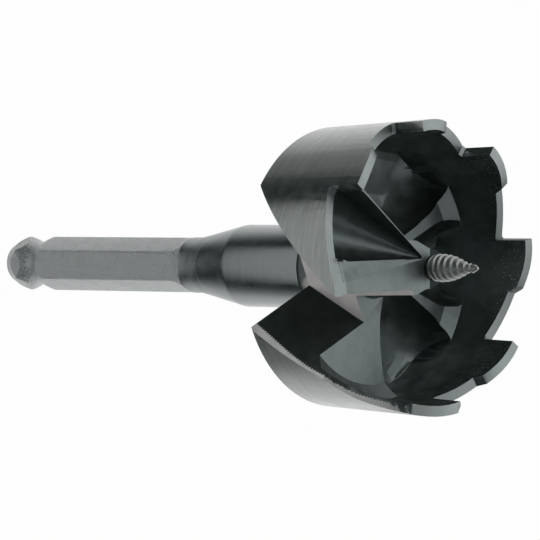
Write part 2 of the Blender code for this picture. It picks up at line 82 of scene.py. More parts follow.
# Outside radii that a finish counts from, in the material's own millimetres. The last is
# beyond the whole bit, for a piece with no outside wall
HEAD_WALL = 31.0
COLLAR_WALL = 7.4
NO_WALL = 50.0

# Other sizes that a finish follows, in the same millimetres
INNER_WALL = 30.5
HUB_RADIUS = 6.0
SLOT_FLOOR_INSET = 17.0
CROWN_DEPTH = 2.7
SLOT_BACK_Z = -30.0
SLOT_STRAIGHT_Z = -17.0
SLOT_BACK_TAPER = 2.0
HEX_END_Z = -72.6

# The toothed side of the slot's strip: 13 radians of a sine to a millimetre, 0.48 mm a tooth
SERRATION_TURN = 13.0
SERRATION_DEPTH = 0.35

# The part of the cup whose edges stay crisp, and the bounds of the slot's far edge
CUP_RADII = (12.0 * MM, 29.5 * MM)
CUP_TOP_Z = -4.0 * MM
SLOT_EDGE_X = -9.0 * MM
SLOT_EDGE_Y = -2.0 * MM
SLOT_EDGE_Z = (-29.0 * MM, -3.0 * MM)

# Directions of three milled faces on the bit's own axes
SLOT_FLOOR = (-0.43, 0.9, 0.07)
CUTTER_RELIEF = (0.29, 0.0, 0.96)
SLOT_WALL = (0.68, 0.33, 0.66)

# Pattern sizes, as features in each millimetre
CLOUDS_PER_MM = 0.35
WORN_PATCHES_PER_MM = 0.9
GRIT_PER_MM = 2.2
SPECKS_PER_MM = 2.6
GRAIN_PER_MM = 6.0

# The photograph's viewpoint
CAMERA_PLACE = (0.497552, -0.069532, 0.942655)
CAMERA_TURN = (5.989533, 27.629679, 4.739587)
CAMERA_LENS = 308.08

# The stage
BIT_MIDDLE = Vector((0.02, 0.0, 0.035))
LAMP_DISTANCE = 1.2
FLOOR_HALF = 2.5

SMOOTH = {"interpolation_type": 'SMOOTHSTEP'}
COLOUR = {"data_type": 'RGBA'}


def srgb(code):
    """A hex colour as linear red, green, blue and alpha."""
    parts = [int(code[i:i + 2], 16) / 255.0 for i in (1, 3, 5)]
    linear = [p / 12.92 if p <= 0.04045 else ((p + 0.055) / 1.055) ** 2.4 for p in parts]
    return (*linear, 1.0)


def fill_inputs(tree, node, inputs):
    """Set a node's inputs, by name or in order; a value may be a node or its socket."""
    for key, value in inputs.items() if isinstance(inputs, dict) else enumerate(inputs):
        if isinstance(value, bpy.types.Node):
            value = next(socket for socket in value.outputs if socket.enabled)
        if isinstance(value, bpy.types.NodeSocket):
            tree.links.new(value, node.inputs[key])
        else:
            node.inputs[key].default_value = value


def add_node(tree, kind, inputs=(), **settings):
    """Add a node with its settings and links."""
    node = tree.nodes.new(kind)
    for name, value in settings.items():
        setattr(node, name, value)
    fill_inputs(tree, node, inputs)
    return node


def bit_matrix():
    """The bit's own axes in the world."""
    return Matrix.Translation(BIT_PLACE) @ BIT_TURN.to_matrix().to_4x4()


def bit_direction(x, y, z):
    """A direction given on the bit's own axes, as the world sees it."""
    return (BIT_TURN.to_matrix() @ Vector((x, y, z))).normalized()


def blank_material(name):
    """A new material with its node tree and its main shader."""
    material = bpy.data.materials.new(name)
    material.use_nodes = True
    tree = material.node_tree
    return material, tree, tree.nodes["Principled BSDF"]


def bit_coordinates(tree):
    """Object coordinates turned on to the bit's own axis, in millimetres."""
    place = add_node(tree, 'ShaderNodeTexCoord').outputs["Object"]
    return add_node(tree, 'ShaderNodeMapping',
                    {"Vector": place, "Location": BIT_PLACE, "Scale": (MM, MM, MM),
                     "Rotation": BIT_TURN.to_matrix().to_euler('XYZ')},
                    vector_type='TEXTURE')


def surface_facts(tree):
    """What a finish follows: a point's place on the bit, its radius and how it faces."""
    node = partial(add_node, tree)
    place = bit_coordinates(tree)
    axes = node('ShaderNodeSeparateXYZ', (place,)).outputs
    first = node('ShaderNodeMath', (axes["X"], axes["X"]), operation='MULTIPLY')
    square = node('ShaderNodeMath', (axes["Y"], axes["Y"], first), operation='MULTIPLY_ADD')
    normal = node('ShaderNodeTexCoord').outputs["Normal"]
    along = node('ShaderNodeVectorMath', (normal, bit_direction(0, 0, 1)),
                 operation='DOT_PRODUCT')
    either_way = node('ShaderNodeMath', (along,), operation='ABSOLUTE')
    return SimpleNamespace(
        place=place, across=axes["Y"], height=axes["Z"], normal=normal,
        radius=node('ShaderNodeMath', (square,), operation='SQRT'),
        faces_out=node('ShaderNodeMapRange', (along, 0.9, 0.95, 0.0, 1.0), **SMOOTH),
        level=either_way,
        sideways=node('ShaderNodeMapRange', (either_way, 0.35, 0.6, 1.0, 0.0), **SMOOTH))


def all_of(tree, *shares):
    """1 where every share is 1."""
    result = shares[0]
    for share in shares[1:]:
        result = add_node(tree, 'ShaderNodeMath', (result, share), operation='MULTIPLY')
    return result


def faces_like(tree, normal, direction, low, high):
    """1 on the faces that point the given way on the bit's own axes, 0 on the rest."""
    facing = add_node(tree, 'ShaderNodeVectorMath', (normal, bit_direction(*direction)),
                      operation='DOT_PRODUCT')
    return add_node(tree, 'ShaderNodeMapRange', (facing, low, high, 0.0, 1.0), **SMOOTH)


def leaned(tree, normal, share, old, new):
    """Turn the shading normal of the faces in share from one direction to another."""
    shift = bit_direction(*new) - bit_direction(*old)
    tilt = add_node(tree, 'ShaderNodeVectorMath', {0: shift, 3: share}, operation='SCALE')
    moved = add_node(tree, 'ShaderNodeVectorMath', (normal, tilt), operation='ADD')
    return add_node(tree, 'ShaderNodeVectorMath', (moved,), operation='NORMALIZE')


def lathe_marks(tree, place, spacing):
    """Fine rings round the bit's axis: noise that mostly changes along the axis."""
    stretch = add_node(tree, 'ShaderNodeVectorMath', (place, (0.1, 0.1, 1.0 / spacing)),
                       operation='MULTIPLY')
    return add_node(tree, 'ShaderNodeTexNoise',
                    {"Vector": stretch, "Scale": 1.0, "Detail": 3.0, "Roughness": 0.6, "W": 1.7},
                    noise_dimensions='4D')


def slot_edge(tree, spot, wall):
    """The far edge of the chip slot: a bright strip with a toothed side, on the wall faces near the
    outside.
    """
    node = partial(add_node, tree)
    turns = node('ShaderNodeMath', (spot.height, SERRATION_TURN), operation='MULTIPLY')
    wave = node('ShaderNodeMath', (turns,), operation='SINE')
    teeth = node('ShaderNodeMapRange', (wave, -1.0, 1.0, 0.0, SERRATION_DEPTH), **SMOOTH)
    taper = node('ShaderNodeMapRange',
                 (spot.height, SLOT_BACK_Z, SLOT_STRAIGHT_Z, SLOT_BACK_TAPER, 0.0), **SMOOTH)
    reach = node('ShaderNodeMath', (spot.radius, taper), operation='ADD')
    reach = node('ShaderNodeMath', (reach, teeth), operation='ADD')
    outermost = node('ShaderNodeMapRange', (reach, wall - 0.25, wall + 0.15, 0.0, 1.0), **SMOOTH)
    return all_of(tree, faces_like(tree, spot.normal, SLOT_WALL, 0.93, 0.96), outermost)


def stray_specks(tree, spot):
    """Small bare spots on the inner wall near the teeth, where chips have struck it."""
    node = partial(add_node, tree)
    noise = node('ShaderNodeTexNoise',
                 {"Vector": spot.place, "Scale": SPECKS_PER_MM, "Detail": 1.0})
    return all_of(
        tree, spot.sideways,
        node('ShaderNodeMapRange', (spot.radius, 24.0, 28.0, 0.0, 1.0), **SMOOTH),
        node('ShaderNodeMapRange', (spot.radius, INNER_WALL - 0.3, INNER_WALL, 1.0, 0.0), **SMOOTH),
        node('ShaderNodeMapRange', (spot.height, -12.0, -4.0, 0.0, 1.0), **SMOOTH),
        node('ShaderNodeMapRange', (noise, 0.64, 0.7, 0.0, 1.0), **SMOOTH))


def milled_faces(colours, tree, spot, wall, look):
    """The head's milled faces, each as its cutter left it, over the oxide film, and painted shade
    on the hub beside the screw.

    They are found by direction and by distance in from the wall, so some faces of the
    shank and of the set screw are caught too.
    """
    node = partial(add_node, tree)
    floor_end = wall - SLOT_FLOOR_INSET
    near_middle = node('ShaderNodeMapRange', (spot.radius, floor_end, floor_end + 2.0, 1.0, 0.0),
                       **SMOOTH)
    slot_floor = all_of(tree, faces_like(tree, spot.normal, SLOT_FLOOR, 0.965, 0.985), near_middle)
    relief = faces_like(tree, spot.normal, CUTTER_RELIEF, 0.985, 0.992)
    crown_start = wall - CROWN_DEPTH
    at_rim = node('ShaderNodeMapRange', (spot.radius, crown_start, crown_start + 0.5, 0.0, 1.0),
                  **SMOOTH)
    # Painted shade: the hub's top beside the screw, on one side only, is darkened where shade falls
    at_hub = node('ShaderNodeMapRange', (spot.radius, HUB_RADIUS, HUB_RADIUS + 0.3, 1.0, 0.0),
                  **SMOOTH)
    one_side = node('ShaderNodeMapRange', (spot.across, 0.5, 1.0, 1.0, 0.0), **SMOOTH)
    for share, colour, old, new in (
            (slot_floor, colours.slot_floor, SLOT_FLOOR, (0.05, 1.0, 0.0)),
            (relief, colours.cutter_relief, CUTTER_RELIEF, (0.0, 0.0, 1.0)),
            (all_of(tree, spot.faces_out, at_rim), colours.tooth_crown, None, None),
            (all_of(tree, spot.faces_out, at_hub, one_side), colours.painted_hub_shade, None, None),
            (slot_edge(tree, spot, wall), colours.slot_edge, SLOT_WALL, (0.0, 0.0, 1.0)),
            (stray_specks(tree, spot), colours.speck, None, None)):
        look.colour = node('ShaderNodeMix', {0: share, 6: look.colour, 7: colour}, **COLOUR)
        if new:
            look.leaning = leaned(tree, look.leaning, share, old, new)


def rolled_hex(colours, tree, spot, look):
    """The shank's hex bar, paler and rougher than its turned collar."""
    node = partial(add_node, tree)
    bar = node('ShaderNodeMapRange', (spot.height, HEX_END_Z - 0.8, HEX_END_Z + 0.2, 1.0, 0.0),
               **SMOOTH)
    look.colour = node('ShaderNodeMix', {0: bar, 6: look.colour, 7: colours.hex_bar}, **COLOUR)
    look.pebble = node('ShaderNodeMapRange', (bar, 0.0, 1.0, look.pebble, 10.0), **SMOOTH)
    rougher = node('ShaderNodeMapRange', (bar, 0.0, 1.0, 0.0, 0.14), **SMOOTH)
    look.roughness = node('ShaderNodeMath', (look.roughness, rougher), operation='ADD')


def oxide_steel(name, colours, dark, pale, ground, wall, rough, fine, ring_spacing, ring_depth,
                pebble, skin=1.0, dress=None):
    """Black oxide on machined steel: a thin satin film, worn thin on the turned outside.

    wall is the outside's radius, where rings show and the roughness is fine. skin is how
    much of the film's grey shows on faces that no tool has cut flat. dress, if given, adds
    to the look what one piece alone has.
    """
    material, tree, shader = blank_material(name)
    node = partial(add_node, tree)
    spot = surface_facts(tree)
    cloud = node('ShaderNodeTexNoise', {"Vector": spot.place, "Scale": CLOUDS_PER_MM,
                                        "Detail": 4.0})
    grit = node('ShaderNodeTexNoise', {"Vector": spot.place, "Scale": GRIT_PER_MM, "Detail": 3.0})
    rings = lathe_marks(tree, spot.place, ring_spacing)
    beyond = node('ShaderNodeMapRange', (spot.radius, wall - 0.35, wall - 0.1, 0.0, 1.0), **SMOOTH)
    outside = all_of(tree, beyond, spot.sideways)
    drift = node('ShaderNodeMapRange', (cloud, 0.3, 0.7, 0.0, 1.0), **SMOOTH)
    film = node('ShaderNodeMix', {0: drift, 6: dark, 7: pale}, **COLOUR)
    cut_flat = node('ShaderNodeMapRange', (spot.level, 0.85, 0.95, skin, 1.0), **SMOOTH)
    film = node('ShaderNodeMix', {0: cut_flat, 6: colours.oxide_black, 7: film}, **COLOUR)
    streak = node('ShaderNodeMapRange', (rings, 0.35, 0.65, 0.65, 1.0), **SMOOTH)
    bared = all_of(tree, outside, streak)
    satin = node('ShaderNodeMapRange', (outside, 0.0, 1.0, rough, fine), **SMOOTH)
    uneven = node('ShaderNodeMapRange', (cloud, 0.3, 0.7, -0.03, 0.04), **SMOOTH)
    look = SimpleNamespace(
        colour=node('ShaderNodeMix', {0: bared, 6: film, 7: ground}, **COLOUR),
        roughness=node('ShaderNodeMath', (satin, uneven), operation='ADD'),
        leaning=spot.normal, pebble=pebble)
    if dress:
        dress(colours, tree, spot, look)
    milled_faces(colours, tree, spot, wall, look)
    turned = all_of(tree, rings, outside)
    height = node('ShaderNodeMath', (grit, look.pebble, turned), operation='MULTIPLY_ADD')
    bump = node('ShaderNodeBump', {"Height": height, "Strength": 1.0, "Distance": ring_depth,
                                   "Normal": look.leaning})
    fill_inputs(tree, shader, {"Base Color": look.colour, "Roughness": look.roughness,
                               "Normal": bump, "Metallic": 0.95})
    return material


def worn_edge_steel(name, colour):
    """Steel where handling has rubbed the oxide thin along an edge: paler and smoother."""
    material, tree, shader = blank_material(name)
    patches = add_node(tree, 'ShaderNodeTexNoise', {"Vector": bit_coordinates(tree),
                                                    "Scale": WORN_PATCHES_PER_MM, "Detail": 3.0})
    roughness = add_node(tree, 'ShaderNodeMapRange', (patches, 0.3, 0.7, 0.3, 0.42), **SMOOTH)
    fill_inputs(tree, shader, {"Base Color": colour, "Roughness": roughness, "Metallic": 0.92})
    return material


def bright_steel(name, colour):
    """Bare rolled steel: a soft grey shine, broken up by the marks of the thread rollers."""
    material, tree, shader = blank_material(name)
    grain = add_node(tree, 'ShaderNodeTexNoise', {"Vector": bit_coordinates(tree),
                                                  "Scale": GRAIN_PER_MM, "Detail": 3.0})
    bump = add_node(tree, 'ShaderNodeBump', {"Height": grain, "Strength": 1.0,
                                             "Distance": 0.05 * MM})
    roughness = add_node(tree, 'ShaderNodeMapRange', (grain, 0.3, 0.7, 0.45, 0.6), **SMOOTH)
    fill_inputs(tree, shader, {"Base Color": colour, "Roughness": roughness, "Normal": bump,
                               "Metallic": 1.0})
    return material


def mark_outer_edges(shape, sharpness, broken):
    """Give each convex sharp edge its share of the rounding, by where its middle is."""
    layer = shape.edges.layers.float.new("bevel_weight_edge")
    back = bit_matrix().inverted()
    for edge in shape.edges:
        if len(edge.link_faces) != 2 or not edge.is_convex:
            continue
        if edge.calc_face_angle(0.0) > math.radians(sharpness):
            edge[layer] = broken(back @ ((edge.verts[0].co + edge.verts[1].co) / 2.0))


def refined_copy(node_name, rounding, sharpness, smooth_angle, broken=lambda place: 1.0):
    """A welded copy of a CAD node with its outer edges rounded by a hair."""
    shape = bmesh.new()
    shape.from_mesh(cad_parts[node_name].data)
    bmesh.ops.remove_doubles(shape, verts=shape.verts, dist=2e-6)
    bmesh.ops.dissolve_limit(shape, angle_limit=math.radians(0.6), verts=shape.verts,
                             edges=shape.edges)
    bmesh.ops.recalc_face_normals(shape, faces=shape.faces)
    mark_outer_edges(shape, sharpness, broken)
    mesh = bpy.data.meshes.new(node_name + "_finished")
    shape.to_mesh(mesh)
    shape.free()
    piece = bpy.data.objects.new(node_name + "_finished", mesh)
    bpy.context.scene.collection.objects.link(piece)
    edge = piece.modifiers.new("Edge", 'BEVEL')
    edge.limit_method = 'WEIGHT'
    edge.offset_type = 'WIDTH'
    edge.width = rounding
    edge.segments = 2
    edge.material = 1
    bake_modifiers(piece, smooth_angle)
    return piece


def bake_modifiers(piece, smooth_angle):
    """Turn the modifier result into the piece's own mesh, smooth but for its edges."""
    bpy.context.view_layer.update()
    depsgraph = bpy.context.evaluated_depsgraph_get()
    mesh = bpy.data.meshes.new_from_object(piece.evaluated_get(depsgraph))
    piece.modifiers.clear()
    piece.data = mesh
    mesh.shade_smooth()
    mesh.set_sharp_from_angle(angle=math.radians(smooth_angle))


def finish_piece(piece, materials, node_name):
    """Give a piece its materials and let it stand for its CAD node."""
    piece.data.materials.clear()
    for material in materials:
        piece.data.materials.append(material)
    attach(piece, "root")
    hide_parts(node_name)


def thread_tree():
    """Node tree for the feed screw's thread: a coil that follows the screw's taper."""
    tree = bpy.data.node_groups.new("feed_screw_thread", 'GeometryNodeTree')
    face = tree.interface
    face.new_socket("Geometry", in_out='INPUT', socket_type='NodeSocketGeometry')
    for name in ("Start height", "End height", "Pitch", "Widest height", "Widest radius",
                 "Nib height", "Nib radius", "Ridge"):
        face.new_socket(name, in_out='INPUT', socket_type='NodeSocketFloat')
    face.new_socket("Points a turn", in_out='INPUT', socket_type='NodeSocketInt')
    face.new_socket("Finish", in_out='INPUT', socket_type='NodeSocketMaterial')
    face.new_socket("Geometry", in_out='OUTPUT', socket_type='NodeSocketGeometry')
    node = partial(add_node, tree)
    given = node('NodeGroupInput').outputs

    # Each point's share of the way along, its height and its angle
    rise = node('ShaderNodeMath', (given["End height"], given["Start height"]),
                operation='SUBTRACT')
    turns = node('ShaderNodeMath', (rise, given["Pitch"]), operation='DIVIDE')
    count = node('ShaderNodeMath', (turns, given["Points a turn"]), operation='MULTIPLY')
    line = node('GeometryNodeMeshLine', {"Count": count})
    last = node('ShaderNodeMath', (count, 1.0), operation='SUBTRACT')
    share = node('ShaderNodeMath', (node('GeometryNodeInputIndex'), last), operation='DIVIDE')
    height = node('ShaderNodeMath', (rise, share, given["Start height"]),
                  operation='MULTIPLY_ADD')
    turned = node('ShaderNodeMath', (turns, share), operation='MULTIPLY')
    angle = node('ShaderNodeMath', (turned, 2.0 * math.pi), operation='MULTIPLY')

    # Its radius: the crest swells from the nib to the widest turn
    left = node('ShaderNodeMath', (given["Nib height"], height), operation='SUBTRACT')
    whole_way = node('ShaderNodeMath', (given["Nib height"], given["Widest height"]),
                     operation='SUBTRACT')
    taper = node('ShaderNodeMath', (left, whole_way), operation='DIVIDE', use_clamp=True)
    quarter = node('ShaderNodeMath', (taper, math.pi / 2.0), operation='MULTIPLY')
    swell = node('ShaderNodeMath', (quarter,), operation='SINE')
    spread = node('ShaderNodeMath', (given["Widest radius"], given["Nib radius"]),
                  operation='SUBTRACT')
    crest = node('ShaderNodeMath', (spread, swell, given["Nib radius"]),
                 operation='MULTIPLY_ADD')
    sunk = node('ShaderNodeMath', (swell, RIDGE_SUNK_AT_WIDEST - RIDGE_SUNK_AT_NIB,
                                   RIDGE_SUNK_AT_NIB), operation='MULTIPLY_ADD')
    drop = node('ShaderNodeMath', (given["Ridge"], sunk), operation='MULTIPLY')
    radius = node('ShaderNodeMath', (crest, drop), operation='SUBTRACT')

    # The coil
    cosine = node('ShaderNodeMath', (angle,), operation='COSINE')
    sine = node('ShaderNodeMath', (angle,), operation='SINE')
    spot = node('ShaderNodeCombineXYZ', {
        "X": node('ShaderNodeMath', (radius, cosine), operation='MULTIPLY'),
        "Y": node('ShaderNodeMath', (radius, sine), operation='MULTIPLY'),
        "Z": height})
    placed = node('GeometryNodeSetPosition', {"Geometry": line, "Position": spot})
    path = node('GeometryNodeMeshToCurve', {"Mesh": placed})
    upright = node('GeometryNodeSetCurveNormal', {"Curve": path}, mode='Z_UP')

    # The ridge, a kite that fades at both ends
    rest = node('ShaderNodeMath', (1.0, share), operation='SUBTRACT')
    nearest = node('ShaderNodeMath', (share, rest), operation='MINIMUM')
    ends = node('ShaderNodeMath', (nearest, THREAD_GROWTH, THREAD_END_SIZE),
                operation='MULTIPLY_ADD')
    fade = node('ShaderNodeMath', (ends, 1.0), operation='MINIMUM')
    half_width = node('ShaderNodeMath', (given["Ridge"], RIDGE_HALF_WIDTH), operation='MULTIPLY')
    ridge = node('GeometryNodeCurvePrimitiveQuadrilateral',
                 {"Width": node('ShaderNodeMath', (given["Ridge"], 2.0), operation='MULTIPLY'),
                  "Bottom Height": half_width, "Top Height": half_width}, mode='KITE')
    swept = node('GeometryNodeCurveToMesh', {"Curve": upright, "Profile Curve": ridge,
                                             "Scale": fade, "Fill Caps": True})

    whole = node('GeometryNodeJoinGeometry', (given["Geometry"],))
    fill_inputs(tree, whole, (swept,))
    real = node('GeometryNodeRealizeInstances', {"Geometry": whole})
    painted = node('GeometryNodeSetMaterial', {"Geometry": real, "Material": given["Finish"]})
    node('NodeGroupOutput', (painted,))
    return tree


def set_inputs(modifier, values):
    """Set a modifier's inputs by their sockets' identifiers."""
    for item in modifier.node_group.interface.items_tree:
        if item.in_out == 'INPUT' and item.name in values:
            modifier[item.identifier] = values[item.name]


def screw_core_profile(ridge):
    """The screw's outline between its threads, from the tip down to the stem's end."""
    points = [(0.0, SCREW_TIP_Z), (0.3 * MM, SCREW_TIP_Z),
              (0.8 * MM, SCREW_TIP_Z - 0.8 * MM), (0.85 * MM, SCREW_TIP_Z - 1.5 * MM)]
    deeper = CORE_BELOW_CREST_AT_WIDEST - CORE_BELOW_CREST_AT_NIB
    for i in range(SCREW_CORE_RINGS + 1):
        part = i / SCREW_CORE_RINGS
        z = SCREW_NIB_Z + (SCREW_WIDEST_Z - SCREW_NIB_Z) * part
        swell = math.sin(part * math.pi / 2.0)
        crest = SCREW_NIB_RADIUS + (SCREW_WIDEST_RADIUS - SCREW_NIB_RADIUS) * swell
        points.append((crest - ridge * (deeper * swell + CORE_BELOW_CREST_AT_NIB), z))
    points += [(SCREW_WIDEST_RADIUS - ridge * CORE_BELOW_CREST_AT_WIDEST, 0.0),
               (SCREW_STEM_RADIUS + 0.05 * MM, SCREW_BASE_Z),
               (SCREW_STEM_RADIUS, SCREW_BASE_Z - 0.1 * MM),
               (SCREW_STEM_RADIUS, SCREW_STEM_END_Z + 0.4 * MM),
               (SCREW_STEM_RADIUS - 0.4 * MM, SCREW_STEM_END_Z), (0.0, SCREW_STEM_END_Z)]
    return points


def turned_mesh(name, profile, steps):
    """Spin an outline, listed from the tip down, round the bit's axis."""
    shape = bmesh.new()
    verts = [shape.verts.new((r, 0.0, z)) for r, z in profile]
    edges = [shape.edges.new((a, b)) for a, b in zip(verts, verts[1:])]
    bmesh.ops.spin(shape, geom=verts + edges, cent=(0, 0, 0), axis=(0, 0, 1),
                   angle=2.0 * math.pi, steps=steps, use_duplicate=False)
    bmesh.ops.remove_doubles(shape, verts=shape.verts, dist=1e-7)
    bmesh.ops.recalc_face_normals(shape, faces=shape.faces)
    mesh = bpy.data.meshes.new(name)
    shape.to_mesh(mesh)
    shape.free()
    return mesh


def paper_floor(scene, colour):
    """A plain floor that the camera sees as white, and that metal mirrors as a painted glow: a soft
    pool with a painted shadow under the head.
    """
    mesh = bpy.data.meshes.new("floor")
    shape = bmesh.new()
    bmesh.ops.create_grid(shape, x_segments=1, y_segments=1, size=FLOOR_HALF)
    shape.to_mesh(mesh)
    shape.free()
    floor = bpy.data.objects.new("floor", mesh)
    scene.collection.objects.link(floor)

    # Matt white paper: even and pale, with nothing of its own to look at
    paper, tree, shader = blank_material("white_paper_with_painted_glow")
    fill_inputs(tree, shader, {"Base Color": colour, "Roughness": 0.9})
    node = partial(add_node, tree)
    glow = node('ShaderNodeEmission', {"Color": (1, 1, 1, 1), "Strength": 1.0})
    place = node('ShaderNodeTexCoord').outputs["Object"]

    # Painted glow that only metal sees: a pool fading outward from under the bit, with a painted
    # shadow under the head
    outward = node('ShaderNodeVectorMath', (place, (0.62, 1.0, 1.0), (-0.03, 0.0, 0.0)),
                   operation='MULTIPLY_ADD')
    reach = node('ShaderNodeVectorMath', (outward,), operation='LENGTH')
    pool = node('ShaderNodeMapRange', (reach, 0.03, 0.2, 1.0, 0.12), **SMOOTH)
    head = node('ShaderNodeVectorMath', (place, (30.0, 23.0, 1.0), (-1.35, 0.0, 0.0)),
                operation='MULTIPLY_ADD')
    from_head = node('ShaderNodeVectorMath', (head,), operation='LENGTH')
    painted_head_shadow = node('ShaderNodeMapRange', (from_head, 0.75, 1.25, 0.3, 1.0), **SMOOTH)

    rays = node('ShaderNodeLightPath').outputs
    mirrored = node('ShaderNodeMath', (rays["Is Glossy Ray"], rays["Is Transmission Ray"]),
                    operation='MAXIMUM')
    shown = node('ShaderNodeMath', (rays["Is Camera Ray"], all_of(tree, pool, painted_head_shadow, mirrored)),
                 operation='MAXIMUM')
    share = node('ShaderNodeMath', (shown, 0.985), operation='MULTIPLY')
    mix = node('ShaderNodeMixShader', (share, shader, glow))
    fill_inputs(tree, tree.nodes["Material Output"], {"Surface": mix})
    mesh.materials.append(paper)


def studio_world(scene, colour, strength):
    """A dim room whose lower half is white to the camera and in metal."""
    world = bpy.data.worlds.new("studio")
    scene.world = world
    world.use_nodes = True
    tree = world.node_tree
    node = partial(add_node, tree)
    room = tree.nodes["Background"]
    fill_inputs(tree, room, {"Color": colour, "Strength": strength})
    white = node('ShaderNodeBackground', {"Color": (1, 1, 1, 1), "Strength": 1.0})
    view = node('ShaderNodeTexCoord').outputs["Generated"]
    rise = node('ShaderNodeSeparateXYZ', (view,)).outputs["Z"]
    below = node('ShaderNodeMapRange', (rise, -0.05, 0.0, 1.0, 0.0), **SMOOTH)
    rays = node('ShaderNodeLightPath').outputs
    mirrored = node('ShaderNodeMath', (rays["Is Glossy Ray"], rays["Is Transmission Ray"]),
                    operation='MAXIMUM')
    seen = node('ShaderNodeMath', (rays["Is Camera Ray"], all_of(tree, mirrored, below)),
                operation='MAXIMUM')
    mix = node('ShaderNodeMixShader', (seen, room, white))
    fill_inputs(tree, tree.nodes["World Output"], {"Surface": mix})


def soft_light(name, azimuth, elevation, size, power):
    """A soft box aimed at the bit; azimuth turns from +X toward +Y."""
    data = bpy.data.lights.new(name, 'AREA')
    data.shape = 'RECTANGLE'
    data.size, data.size_y = size
    data.energy = power
    lamp = bpy.data.objects.new(name, data)
    bpy.context.scene.collection.objects.link(lamp)
    turn, rise = math.radians(azimuth), math.radians(elevation)
    toward = Vector((math.cos(rise) * math.cos(turn), math.cos(rise) * math.sin(turn),
                     math.sin(rise)))
    lamp.location = BIT_MIDDLE + toward * LAMP_DISTANCE
    lamp.rotation_euler = toward.to_track_quat('Z', 'Y').to_euler()


def photo_camera(scene):
    """The camera, where the photograph was taken from."""
    data = bpy.data.cameras.new("camera")
    data.sensor_width = 36.0
    data.lens = CAMERA_LENS
    camera = bpy.data.objects.new("camera", data)
    scene.collection.objects.link(camera)
    camera.location = CAMERA_PLACE
    camera.rotation_euler = [math.radians(a) for a in CAMERA_TURN]
    scene.camera = camera


def finish_colour(name, code, description):
    """A colour property with its default written in hex."""
    return FloatVectorProperty(name=name, subtype='COLOR', size=4, default=srgb(code), min=0.0,
                               max=1.0, description=description)


class BitSizes(bpy.types.PropertyGroup):
    """Sizes of the bit's edges and thread."""
    edge_round: FloatProperty(name="Edge rounding", default=0.16 * MM, unit='LENGTH',
                              description="How far the machined edges are broken")
    slot_round: FloatProperty(name="Slot edge chamfer", default=0.9 * MM, unit='LENGTH',
                              description="Width of the chamfer along the chip slot's far edge")
    set_screw_round: FloatProperty(name="Set screw rounding", default=0.05 * MM, unit='LENGTH',
                                   description="How far the set screw's edges are broken")
    thread_pitch: FloatProperty(name="Thread pitch", default=1.45 * MM, unit='LENGTH',
                                description="Distance between the feed screw's turns")
    thread_ridge: FloatProperty(name="Thread ridge", default=0.42 * MM, unit='LENGTH',
                                description="Height of one thread ridge")
    points_a_turn: IntProperty(name="Points a turn", default=40, min=8,
                               description="Steps round each turn of the thread")


class BitColours(bpy.types.PropertyGroup):
    """Colours of the bit's steel."""
    oxide_black: finish_colour("Oxide black", "#0c1010", "Oxide where no tool has cut flat")
    head_dark: finish_colour("Head film, dark", "#808988", "Thick places in the head's film")
    head_pale: finish_colour("Head film, pale", "#909998", "Thin places in the head's film")
    head_ground: finish_colour("Head outside", "#a8aba9", "The head's turned outer wall")
    slot_floor: finish_colour("Slot floor", "#cdc8c7", "The milled floor of the chip slot")
    cutter_relief: finish_colour("Cutter relief", "#969e9e", "The radial cutter's top face")
    tooth_crown: finish_colour("Tooth crowns", "#a6aead", "The tops of the teeth")
    # Painted shade: a dark colour on the hub's top beside the screw
    painted_hub_shade: finish_colour("Hub shade", "#2c3434", "The dark side of the hub by the screw")
    slot_edge: finish_colour("Slot edge", "#c2c3c1", "The bright strip along the slot")
    speck: finish_colour("Specks", "#d5d8d6", "Bare spots on the inner wall")
    worn_edge: finish_colour("Worn edges", "#b0b4b2", "Edges of the head")
    bar_dark: finish_colour("Shank film, dark", "#868b8c", "Thick places in the shank's film")
    bar_pale: finish_colour("Shank film, pale", "#979b9b", "Thin places in the shank's film")
    bar_ground: finish_colour("Collar outside", "#8f9494", "The turned collar and cone")
    hex_bar: finish_colour("Hex bar", "#cdd0d0", "The hex flats, groove and end")
    worn_corner: finish_colour("Worn corners", "#a9adab", "Corners of the shank")
    set_screw_dark: finish_colour("Set screw, dark", "#5b6061", "The set screw and its edges")
    set_screw_pale: finish_colour("Set screw, pale", "#6b7071", "Thin places in its film")
    bright_screw: finish_colour("Feed screw", "#c4c6c5", "The feed screw's bare steel")


class BitStage(bpy.types.PropertyGroup):
    """Light on the bit and the colour under it."""
    left_power: FloatProperty(name="Left light", default=3.0, unit='POWER',
                              description="Power of the wide soft box past the shank")
    right_power: FloatProperty(name="Right light", default=2.8, unit='POWER',
                               description="Power of the soft box behind the head")
    top_power: FloatProperty(name="Top light", default=0.5, unit='POWER',
                             description="Power of the small soft box overhead")
    low_power: FloatProperty(name="Low light", default=0.9, unit='POWER',
                             description="Power of the small soft box in front of the cup")
    room_light: FloatProperty(name="Room light", default=0.06, min=0.0,
                              description="Strength of the dim light from all round")
    room_colour: finish_colour("Room colour", "#b4d2d2", "Colour of the dim light")
    floor_colour: FloatVectorProperty(name="Floor colour", subtype='COLOR', size=4,
                                      default=(0.8, 0.8, 0.8, 1.0), min=0.0, max=1.0,
                                      description="Colour of the plain floor")


